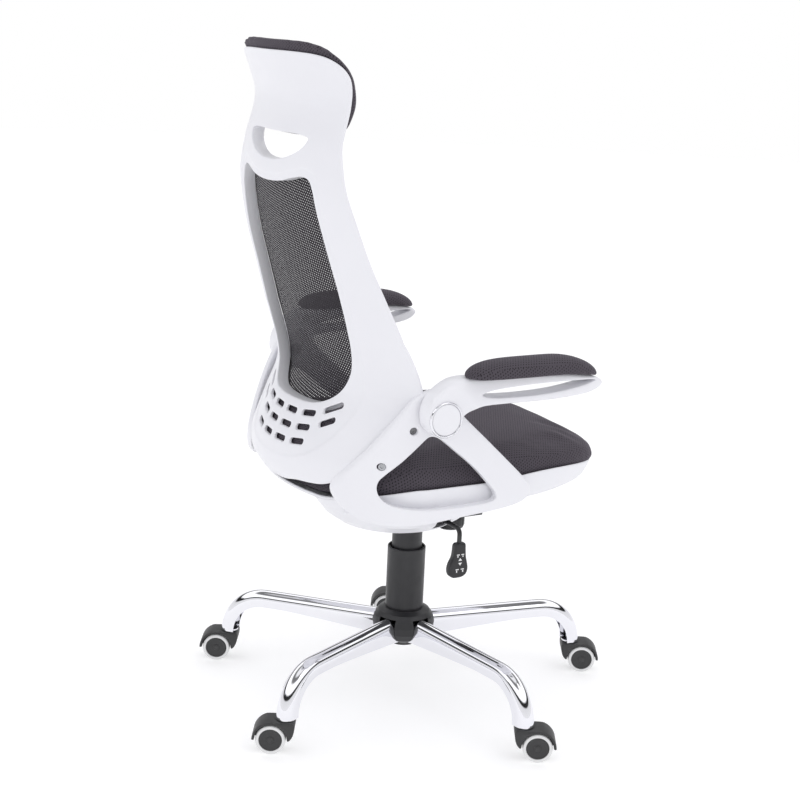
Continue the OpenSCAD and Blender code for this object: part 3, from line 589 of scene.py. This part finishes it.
lumbar = back_pad(
    "lumbar_pad_cover", np.linspace(457, 551, 20), lambda z: 149 - 40 * abs((z - 504) / 50) ** 4,
    lambda x, z: np.full(len(x), 10 + 3 * abs((z - 504) / 50) ** 4),
    lambda x, z: 12 + (20 - 12 * abs((z - 504) / 50) ** 4) * np.sqrt(np.maximum(0, 1 - (np.abs(x) / 150) ** 6)))
stuff(lumbar, 3, lambda p: p[:, 1] > back_y(p[:, 0], p[:, 2]) - 13, voxel=6.0)


# ---------------------------------------------------------------- seat
SEAT_HALF, SEAT_FRONT, MID_Y, SEAT_REAR, SEAT_TOP, RIM = 246, 288, 100, 150, 508, 455


def seat_ring(d, z_of, s=1.0, n=144, nose=0.0):
    t = np.linspace(0, TAU, n, endpoint=False)
    front = np.sin(t) < 0
    power = np.where(front, 0.4, 1.0)
    reach = np.where(front, SEAT_FRONT + MID_Y - d - nose, SEAT_REAR - d)
    x = s * (SEAT_HALF - d) * np.sign(np.cos(t)) * np.abs(np.cos(t)) ** power
    y = s * (MID_Y + reach * np.sign(np.sin(t)) * np.abs(np.sin(t)) ** power)
    return np.stack([x, y, z_of(x, y)], 1)


def rim(y):
    rear = RIM - 33 * np.minimum(1, np.maximum(0, y - 120) / 110) ** 1.5
    return np.where(y < -20, RIM + 10 * np.sin(np.radians(np.minimum(180, 180 * np.maximum(0, -20 - y) / 260))), rear)


def under(y):
    return 410 + 34 * (np.maximum(0, -y) / 290) ** 2.2


def crown(x, y):
    return (SEAT_TOP - 22 * (np.maximum(0, -190 - y) / 110) ** 2 - 42 * (np.maximum(0, y - 120) / 110) ** 1.5
            - 10 * (np.abs(x) / SEAT_HALF) ** 6)


def puff(share, less=0.0):
    return lambda x, y: rim(y) + share * (crown(x, y) - less - rim(y))


def pan_ring(d, z_of, s=1.0):
    """The cushion rolls over the front of the pan, which ends a little sooner."""
    return seat_ring(d, z_of, s, nose=18)


pan = rings("pan_moulding", [
    pan_ring(46, lambda x, y: under(y), 0.15), pan_ring(46, lambda x, y: under(y), 0.6),
    pan_ring(46, lambda x, y: under(y), 0.97), pan_ring(40, lambda x, y: under(y) + 0.4),
    pan_ring(26, lambda x, y: under(y) + 2), pan_ring(14, lambda x, y: np.minimum(rim(y) - 8, under(y) + 5)),
    pan_ring(6, lambda x, y: np.minimum(rim(y) - 7, under(y) + 10)),
    pan_ring(2.4, lambda x, y: np.minimum(rim(y) - 6, under(y) + 17)),
    pan_ring(0.6, lambda x, y: (rim(y) + np.minimum(rim(y) - 4, under(y) + 18)) / 2 - 1),
    pan_ring(0, lambda x, y: rim(y) - 2.6), pan_ring(0.3, lambda x, y: rim(y) - 0.8),
    pan_ring(1.2, lambda x, y: rim(y)), pan_ring(3.2, lambda x, y: rim(y)), pan_ring(4, lambda x, y: rim(y) - 1),
    pan_ring(7, lambda x, y: np.minimum(rim(y) - 3, under(y) + 17)),
    pan_ring(18, lambda x, y: np.minimum(rim(y) - 4, under(y) + 9)), pan_ring(48, lambda x, y: under(y) + 4),
    pan_ring(48, lambda x, y: under(y) + 4, 0.15)], WHITE, "tilt", "white_plastic", replaces=["seat_pan"])

cushion = rings("seat_cushion_cover", [
    seat_ring(54, lambda x, y: under(y) + 6, 0.1), seat_ring(54, lambda x, y: under(y) + 6, 0.6),
    seat_ring(54, lambda x, y: under(y) + 6), seat_ring(26, lambda x, y: np.minimum(rim(y) - 1, under(y) + 12)),
    seat_ring(12, lambda x, y: np.minimum(rim(y), under(y) + 21)), seat_ring(10, lambda x, y: rim(y) + 1),
    seat_ring(6, lambda x, y: rim(y) + 5), seat_ring(4, puff(0.3, 4)), seat_ring(6, puff(0.6, 4)),
    seat_ring(13, puff(0.8, 4)), seat_ring(26, puff(0.93, 5)), seat_ring(48, puff(0.99, 5)),
    seat_ring(60, puff(1, 5), 0.8), seat_ring(60, puff(1, 5), 0.45), seat_ring(60, puff(1, 5), 0.1)],
    FABRIC, "tilt", "fabric", replaces=["seat_cushion"])
stuff(cushion, 6, lambda p: p[:, 2] < rim(p[:, 1]) + 5, voxel=7.0)


# ---------------------------------------------------------------- side brackets and arms
PIVOT_Y, PIVOT_Z = 113, 586


def oval_x(a, b, y):
    return a * np.sqrt(np.maximum(0.01, 1 - (np.maximum(0, y - 100) / b) ** 2))


def bracket_place(y, z, t):
    out, inn = oval_x(264, 186, y), oval_x(250, 175, y)
    return np.stack([-(out + (inn - out) * t / 14), y, z], 1)


bracket_loop = curve([
    (74, 597), (64, 584), (10, 534), (-48, 480), (-66, 462), (-77, 448), (-76, 433), (-60, 422), (-20, 414.5), (60, 408),
    (110, 404), (150, 401), (190, 402.5), (213, 410.5), (231, 427), (239, 448), (235, 468), (218, 497.5), (200, 526),
    (184, 552), (170, 573), (159, 589), (147, 606), (134, 618), (118, 625), (100, 624), (84, 613.5)], 4.0)
bracket_hole = curve([
    (111, 549), (119, 549), (127, 543), (158, 510), (187, 479), (191.5, 466), (189, 452), (180, 441), (165, 434),
    (129, 428.5), (60, 426.5), (20, 427.5), (-5, 430.5), (-11, 436), (-9, 444), (3, 459), (34, 491), (70, 521), (98, 543)],
    4.0)


def circle(y, z, r, n=28):
    a = np.linspace(0, TAU, n, endpoint=False)
    return np.stack([y + r * np.cos(a), z + r * np.sin(a)], 1)


screw_at = [(144, 559, 5), (186.5, 499, 1.2)]
bracket = slab("bracket_right_body", bracket_loop, [bracket_hole] + [circle(y, z, 6.2) for y, z, _ in screw_at],
               bracket_place, 14, 4.2, WHITE, "tilt", "white_plastic", grid=6.0, hole_radius=2.0,
               replaces=["bracket_right"])
flip(bracket, "bracket_left_body", replaces=["bracket_left"])
for k, (y, z, deep) in enumerate(screw_at):
    c = bracket_place(np.array([y]), np.array([z]), np.array([deep]))[0]
    e = bracket_place(np.array([y - 1.0, y + 1.0]), np.array([z, z]), np.array([0.0, 0.0]))
    n = Vector((-(e[1, 1] - e[0, 1]), e[1, 0] - e[0, 0], 0)).normalized()
    head_profile = [(0, -9), (6.4, -9), (6.4, -1.5), (5.6, -0.4), (5.0, 0), (2.9, 0), (2.6, -0.3), (2.5, -2.6), (0, -3.2)]
    s = sharpen(lathe(f"screw_right_{k + 1}", head_profile, c, n, STEEL if k else RAW, "tilt", "steel", 36,
                      replaces=["bracket_screws"]), 35)
    flip(s, f"screw_left_{k + 1}")

ARM_OUT, ARM_IN, ARM_SPLAY = -299.5, -264.5, 0.08
BOSS_R, BOSS_BLEND = 32, 22


def arm_place(a, h, t):
    """a is the distance in front of the pivot and h the height above it."""
    free = np.clip((np.hypot(a, h) - BOSS_R) / BOSS_BLEND, 0, 1)
    splay = ARM_SPLAY * (a + 31) * free * free * (3 - 2 * free)
    return np.stack([ARM_OUT + (ARM_IN - ARM_OUT) * t / 35 - splay, PIVOT_Y - a, PIVOT_Z + h], 1)


arm_loop = curve([
    (29.6, -5), (23.2, -19), (10.3, -28.2), (-5.2, -29.5), (-19.3, -23), (-28.2, -10.3), (-30.6, 3), (-30, 14), (-24.6, 29),
    (-14, 42.5), (-1, 53), (14, 60.5), (34, 63.6), (60, 63), (120, 64.4), (200, 62.6), (246, 58), (268, 53), (277, 45.5),
    (271, 36.5), (250, 28.3), (200, 22.4), (150, 20), (100, 19), (64, 17), (47, 11.5), (36, 4)], 3.0)
arm_slot = curve([
    (60, 36.5), (66, 33), (90, 30.4), (150, 31), (200, 35), (240, 42), (256, 46.5), (262, 49.4), (256, 50.8), (240, 50.9),
    (200, 50.4), (150, 48.6), (100, 45), (72, 41)], 3.0)
arm = slab("arm_right_body", arm_loop, [arm_slot], arm_place, 35, 5.5, WHITE, "arm_r", "white_plastic", grid=5.0,
           hole_radius=2.2, replaces=["arm_right"])
flip(arm, "arm_left_body", "arm_l", ["arm_left"])

pad_layers = []
for s in np.concatenate([[0, 0.004, 0.012, 0.025], np.linspace(0.045, 0.955, 34), [0.975, 0.988, 0.996, 1]]):
    e = abs(2 * s - 1)
    half = 34.5 * max(0.0, 1 - e**4.5) ** 0.42 + 1.2
    rise = 25 * max(0.0, 1 - e**3.6) ** 0.46 + 0.6
    low = PIVOT_Z + 66.5 - 100 * max(0, s - 0.65) ** 2 - 56 * max(0, 0.25 - s) ** 2 + 1.5 * e**6
    a = np.linspace(0, TAU, 48, endpoint=False)
    sa, ca = np.sin(a), np.cos(a)
    pad_layers.append(np.stack([
        -303 + half * np.sign(ca) * np.abs(ca) ** 0.86, np.full(48, PIVOT_Y - 31 - 240 * s),
        low + np.where(sa > 0, rise * np.abs(sa) ** 0.82, 1.6 * sa)], 1))
pad = rings("arm_pad_right_cover", pad_layers, FABRIC, "arm_r", "fabric", replaces=["arm_pad_right"])
stuff(pad, 2.5, lambda p: p[:, 2] < PIVOT_Z + 66.5 - 40 * np.maximum(0, 0.65 - (p[:, 1] + 163) / 240 - 0.3) ** 2 + 1,
      voxel=4.0)
left_pad = flip(pad, "arm_pad_left_cover", "arm_l", ["arm_pad_left"])

cap_profile = [(0, -6), (25.2, -6), (25.2, 1.0), (24.8, 1.7), (24.0, 2.0), (22.4, 1.75), (15, 1.95), (7, 2.05), (0, 2.1)]
ring_profile = [(26, -1), (29, -1), (29.1, 0.4), (28.7, 1.7), (27.8, 2.7), (26.9, 2.9), (26.1, 2.3), (25.6, 1.2), (25.5, -0.8)]
cap = lathe("pivot_cap_right", cap_profile, (ARM_OUT, PIVOT_Y, PIVOT_Z), (-1, 0, 0), WHITE, "arm_r", "white_plastic",
            replaces=["arm_cap_right"])
flip(cap, "pivot_cap_left", "arm_l", ["arm_cap_left"])
trim_ring = lathe("pivot_ring_right", ring_profile, (ARM_OUT, PIVOT_Y, PIVOT_Z), (-1, 0, 0), CHROME, "arm_r", "chrome",
                  72, wrap=True, replaces=["arm_ring_right"])
flip(trim_ring, "pivot_ring_left", "arm_l", ["arm_ring_left"])


# ---------------------------------------------------------------- base
LEG_ANGLE, LEG_STEP, STEM_R, LEG_TOP, LEG_W, LEG_H, END_Z = -27.6, -72, 338, 143, 33, 28, 57
TRAIL = [60, -120, -120, 60, 60]
AXLE_X, AXLE_Z, WHEEL_OFF = 22, 25, 13


def leg_layers():
    """Pressed channel: half-round on top, open below, deeper near the hub, turned down over the stem."""
    bend = LEG_TOP - LEG_H / 2 - END_Z
    run = STEM_R - bend
    stations = [(np.array([x, 0, LEG_TOP - LEG_H / 2]), np.array([0, 0, 1.0]), x) for x in
                [28, 30, 33, 40, 60, 90, 120, 150, 180, 205, 225, 250, run]]
    for a in np.linspace(0, 90, 15)[1:]:
        r = math.radians(a)
        stations.append((np.array([run + bend * math.sin(r), 0, END_Z + bend * math.cos(r)]),
                         np.array([math.sin(r), 0, math.cos(r)]), run + bend * r))
    out = []
    for k, (c, up, s) in enumerate(stations):
        deep = 15.5 * np.clip(1 - (s - 34) / 190, 0, 1) ** 1.15
        lip = 0.9 if k == len(stations) - 1 else 0.5 if k == len(stations) - 2 else 0
        profile = []
        for r, low in ((LEG_W / 2 + lip, 0.0), (LEG_W / 2 - 2, 0.4)):
            arc = [(r * math.cos(b), LEG_H / 2 - LEG_W / 2 + r * math.sin(b)) for b in np.linspace(0, math.pi, 25)]
            foot = -LEG_H / 2 - deep + low
            side = [(r, foot), (r, foot * 0.6), (r, foot * 0.25)]
            whole = side + arc + [(-x, y) for x, y in reversed(side)]
            profile += whole if r > LEG_W / 2 - 1 else whole[::-1]
        out.append(np.array([c + np.array([0, x, 0]) + up * y for x, y in profile]))
    return out


def turned(pts, degrees):
    """Points turned about Z."""
    a = math.radians(degrees)
    m = np.array([[math.cos(a), -math.sin(a), 0], [math.sin(a), math.cos(a), 0], [0, 0, 1]])
    return np.asarray(pts, float) @ m.T


base_leg = leg_layers()
for i in range(5):
    layers = [turned(l, LEG_ANGLE + i * LEG_STEP) for l in base_leg]
    sharpen(rings(f"leg_{i + 1}_pressing", layers, CHROME, "base", "chrome", replaces=[f"leg_{i + 1}"]), 55)


def arc(r, degrees):
    """Points at radius r about the wheel axle, in the caster's side view."""
    return [(AXLE_X + r * math.cos(math.radians(a)), AXLE_Z + r * math.sin(math.radians(a))) for a in degrees]


hood_loop = curve(
    arc(31.3, range(0, 76, 8))
    + [(22, 55.3), (6, 55.3), (-12, 55.3), (-16.6, 52.5), (-17.2, 46), (-15.5, 36), (-12.5, 29), (-8.5, 24.4),
       (-5.6, 24.2)] + arc(27, range(170, -1, -10)) + [(51, 24.2)], 2.5)
web_loop = curve(arc(27.4, range(0, 181, 12)) + [(8, 17), (22, 13), (36, 17)], 4.0)
stem_profile = [(0, 50), (5.5, 50), (5.5, 86), (4.5, 87), (0, 87)]
collar_profile = [(5.6, 55), (11.5, 55), (11.5, 56.4), (10.8, 56.9), (5.6, 56.9)]
axle_profile = [(0, -20.4), (3, -20.4), (3, 20.4), (0, 20.4)]
tread_profile = [(19.4, -8), (23.2, -8), (24.5, -7.2), (25, -5.4), (25, 5.4), (24.6, 7.2), (23.6, 8.2), (20.6, 8.5),
                 (19.6, 8.2), (19.3, 7.2)]
disc_profile = [(3.1, -8), (19.2, -8), (19.2, 6.8), (18.6, 7.5), (17.2, 7.8), (16.2, 7.3), (12, 6.9), (6, 6.7), (3.1, 6.7)]
plug_profile = [(0, 6), (5.6, 6), (5.6, 7.2), (5, 7.7), (0, 8)]
for i in range(5):
    a = math.radians(LEG_ANGLE + i * LEG_STEP)
    stem = np.array([STEM_R * math.cos(a), STEM_R * math.sin(a), 0])
    turn = TRAIL[i]

    def hood_place(x, z, t, stem=stem, turn=turn):
        return turned(np.stack([x, t - 23, z], 1), turn) + stem

    k = i + 1
    body, slot = f"caster_{k}", "hood_plastic"
    slab(f"caster_{k}_hood", hood_loop, [], hood_place, 46, 3.4, HOOD, body, slot, grid=5.0, replaces=[body])
    slab(f"caster_{k}_web", web_loop, [], lambda x, z, t: turned(np.stack([x, t - 4, z], 1), turn) + stem, 8, 1.0,
         HOOD, body, slot, grid=7.0)
    lathe(f"caster_{k}_stem", stem_profile, stem, (0, 0, 1), STEEL, body, slot, 32)
    sharpen(lathe(f"caster_{k}_collar", collar_profile, stem, (0, 0, 1), STEEL, body, slot, 32, wrap=True), 40)
    axle = stem + turned([[AXLE_X, 0, AXLE_Z]], turn)[0]
    along = turned([[0, 1, 0]], turn)[0]
    lathe(f"caster_{k}_axle", axle_profile, axle, along, STEEL, body, slot, 24)
    for side, sign in (("a", -1), ("b", 1)):
        wheel, slot = f"wheel_{k}{side}", "wheel_plastic"
        c, out = axle + sign * WHEEL_OFF * along, along * sign
        lathe(f"{wheel}_tread", tread_profile, c, out, TREAD, wheel, slot, 72, wrap=True, replaces=[wheel])
        lathe(f"{wheel}_disc", disc_profile, c, out, HOOD, wheel, slot, 64, wrap=True)
        lathe(f"{wheel}_plug", plug_profile, c, out, HOOD, wheel, slot, 32)

# ---------------------------------------------------------------- lever paddle
OUT_X = -176
paddle_loop = curve([
    (-9, 330.8), (8, 330.8), (10.6, 327), (11.4, 318), (13, 307), (18.5, 296), (20.6, 286), (18.5, 276.5), (12, 271),
    (2, 270.2), (-7, 271.2), (-14, 276), (-16.8, 285), (-15.6, 294), (-12.6, 306), (-11.2, 320), (-10.8, 327)], 2.5)
slab("paddle_grip", paddle_loop, [], lambda y, z, t: np.stack([OUT_X - 6.5 + t, y, z], 1), 13, 3.2, BLACK, "lever",
     "black_plastic", grid=4.0, replaces=["lever_paddle"])


def mark(name, pts):
    """Printed sign on the paddle's outer face."""
    o = np.array([(OUT_X - 6.8, y, z) for y, z in pts] + [(OUT_X - 6.3, y, z) for y, z in pts])
    n = len(pts)
    faces = [tuple(range(n)), tuple(range(2 * n - 1, n - 1, -1))]
    faces += [(i, i + n, (i + 1) % n + n, (i + 1) % n) for i in range(n)]
    sharpen(piece(name, o, faces, PRINT, "lever", "black_plastic"), 20)


mark("sign_up", [(-3.5, 301), (3.5, 301), (0, 306)])
mark("sign_down", [(-3.5, 297.5), (0, 292.5), (3.5, 297.5)])
bars = [(-7, -1.5, 311, 312.6), (1.5, 7, 311, 312.6), (-6, -4, 307.5, 310), (4, 6, 307.5, 310),
        (-8, -2, 285, 286.6), (2, 8, 285, 286.6), (-7, -5, 280.5, 284), (5, 7, 280.5, 284)]
for k, (y0, y1, z0, z1) in enumerate(bars):
    mark(f"sign_bar_{k + 1}", [(y0, z0), (y1, z0), (y1, z1), (y0, z1)])

# ---------------------------------------------------------------- CAD nodes that stay
FINISH = {
    "hub_tube": PAINT, "hub_cover": BLACK, "stem_sockets": CHROME, "gas_cylinder": PAINT, "lower_sleeve": BLACK,
    "middle_sleeve": BLACK, "piston": STEEL, "valve_button": STEEL, "mechanism_housing": PAINT, "upper_sleeve": BLACK,
    "pivot_pins": STEEL, "tension_bolt": STEEL, "tension_spring": RAW, "tension_washer": STEEL, "tension_knob": BLACK,
    "lever_rod": PAINT, "mechanism_plate": PAINT, "mechanism_cover": WHITE, "arm_bolts": STEEL}
for name, mat in FINISH.items():
    for s in frame["nodes"][name].material_slots:
        s.material = mat

# ---------------------------------------------------------------- floor, light and camera
floor_mat = plastic("pale_floor", (0.66, 0.66, 0.665), (0.68, 0.68, 0.68), 0.9, grain=30.0, depth=1e-5,
                    Emission_Color=(1, 1, 1, 1), Emission_Strength=0.42)
me = bpy.data.meshes.new("floor")
me.from_pydata([(12 * math.cos(a), 12 * math.sin(a), -0.0004) for a in np.linspace(0, TAU, 64, endpoint=False)], [],
               [tuple(range(64))])
me.materials.append(floor_mat)
floor = bpy.data.objects.new("floor", me)
scene.collection.objects.link(floor)

world = bpy.data.worlds.new("studio")
scene.world = world
world.use_nodes = True
nt = world.node_tree
nt.nodes.clear()
direction = node(nt, "ShaderNodeSeparateXYZ", {0: node(nt, "ShaderNodeTexCoord").outputs["Generated"]}).outputs
bands = node(nt, "ShaderNodeValToRGB", {0: direction[2]})
bands.color_ramp.elements.remove(bands.color_ramp.elements[1])
for at, value in ((0.0, 0.95), (0.26, 0.85), (0.31, 0.03), (0.44, 0.02), (0.5, 1.3), (0.78, 1.3), (0.84, 0.25), (0.92, 0.2),
                  (0.96, 1.0)):
    e = bands.color_ramp.elements.new(at) if at else bands.color_ramp.elements[0]
    e.color = (value, value, value * 1.01, 1)
path = node(nt, "ShaderNodeLightPath")
soft = mix(nt, ramp(nt, direction[2], -0.2, 0.9), (0.80, 0.80, 0.83), (1.02, 1.02, 1.04))
backdrop = mix(nt, path.outputs["Is Camera Ray"], soft, (1.0, 1.0, 1.0))
seen = mix(nt, path.outputs["Is Glossy Ray"], backdrop, bands.outputs[0])
bg = node(nt, "ShaderNodeBackground", {"Color": seen, "Strength": 1.0})
node(nt, "ShaderNodeOutputWorld", {0: bg.outputs[0]})


def lamp(name, place, target, size, watts, color=(1, 1, 1)):
    data = bpy.data.lights.new(name, "AREA")
    data.shape, data.size, data.energy, data.color = "DISK", size, watts, color
    o = bpy.data.objects.new(name, data)
    scene.collection.objects.link(o)
    o.location = place
    o.rotation_mode = "QUATERNION"
    o.rotation_quaternion = (Vector(target) - Vector(place)).to_track_quat("-Z", "Y")


lamp("key", (-2.2, -0.8, 3.2), (0, 0.05, 0.6), 1.8, 9)
lamp("fill", (0.6, 3.2, 2.2), (0, 0.1, 0.6), 1.6, 3, (0.96, 0.97, 1))

# The photograph is taken from behind the sitter's right shoulder, a little above seat height.
height, away, focal = 1.204, 2.689, 1584
pitch, roll, yaw = (math.radians(v) for v in (13.95, -2.6, -0.51))
right_dir, ahead_dir, up_dir = Vector((-0.5, -0.8660254, 0)), Vector((0.8660254, -0.5, 0)), Vector((0, 0, 1))
ahead = (right_dir * math.sin(yaw) + ahead_dir * math.cos(yaw)) * math.cos(pitch) - up_dir * math.sin(pitch)
right = right_dir * math.cos(yaw) - ahead_dir * math.sin(yaw)
up = right.cross(ahead)
cam_x = right * math.cos(roll) - up * math.sin(roll)
cam_y = right * math.sin(roll) + up * math.cos(roll)
lens = bpy.data.cameras.new("camera")
lens.sensor_width, lens.lens = 36, 36 * focal / 800
lens.clip_start, lens.clip_end = 0.05, 60
camera = bpy.data.objects.new("camera", lens)
scene.collection.objects.link(camera)
turn = Matrix((cam_x, cam_y, -ahead)).transposed().to_4x4()
camera.matrix_world = Matrix.Translation(-ahead_dir * away + up_dir * height) @ turn
scene.camera = camera
scene.view_settings.view_transform = "Standard"

bpy.context.view_layer.update()
